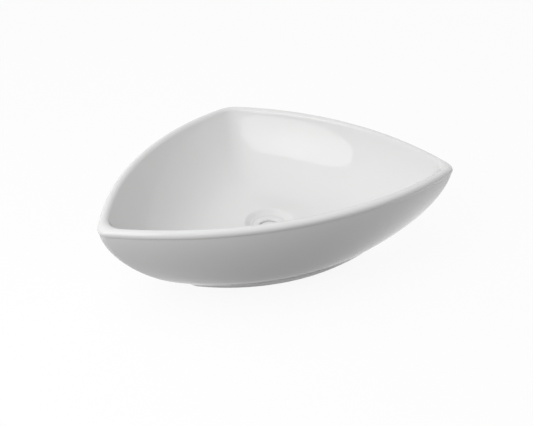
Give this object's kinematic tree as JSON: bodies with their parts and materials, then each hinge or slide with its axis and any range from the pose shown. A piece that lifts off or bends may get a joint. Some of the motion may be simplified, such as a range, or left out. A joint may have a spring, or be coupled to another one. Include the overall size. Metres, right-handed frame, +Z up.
{
  "type": "countertop basin",
  "caption": "Three-cornered glazed countertop basin with bulging sides, a rounded rim, a low foot and a push-to-open waste whose plug lifts to let the water out.",
  "frame": {"origin": "on the drain axis, in the plane of the foot that stands on the worktop", "axes": "+Z up along the drain axis, +X to the right along the long front side, -Y towards the user; the back corner points to +Y"},
  "size_m": [0.5958, 0.4516, 0.23],
  "materials": {
    "glaze": "smooth white glaze, glossy",
    "white_lacquer": "gloss white lacquer on brass",
    "rubber": "matt",
    "nylon": "moulded, satin",
    "acetal": "moulded, satin",
    "chrome": "polished chrome plate",
    "brass": "turned, bare",
    "spring_steel": "drawn stainless wire"
  },
  "bodies": {
    "bowl": {"basin_bowl": "glaze", "waste_body": "white_lacquer", "flange_seal": "rubber", "underside_seal": "rubber", "slip_washer": "nylon", "back_nut": "nylon", "tail_seal": "rubber", "tail_pipe": "chrome", "click_housing": "acetal", "housing_cap": "acetal", "click_spring": "spring_steel"},
    "plug": {"plug_stem": "brass", "stem_lock_nut": "brass", "plug_disc": "nylon", "plug_seal": "rubber", "plug_cover": "glaze"},
    "ratchet": {"ratchet_ring": "acetal"}
  },
  "joints": [
    {"name": "plug_lift", "type": "slide", "parent": "bowl", "child": "plug", "axis": [0, 0, 1], "range_m": [0, 0.009], "deforming": ["click_spring"]},
    {"name": "ratchet_turn", "type": "hinge", "parent": "plug", "child": "ratchet", "pos_m": [0, 0, 0], "axis": [0, 0, 1], "continuous": true}
  ]
}
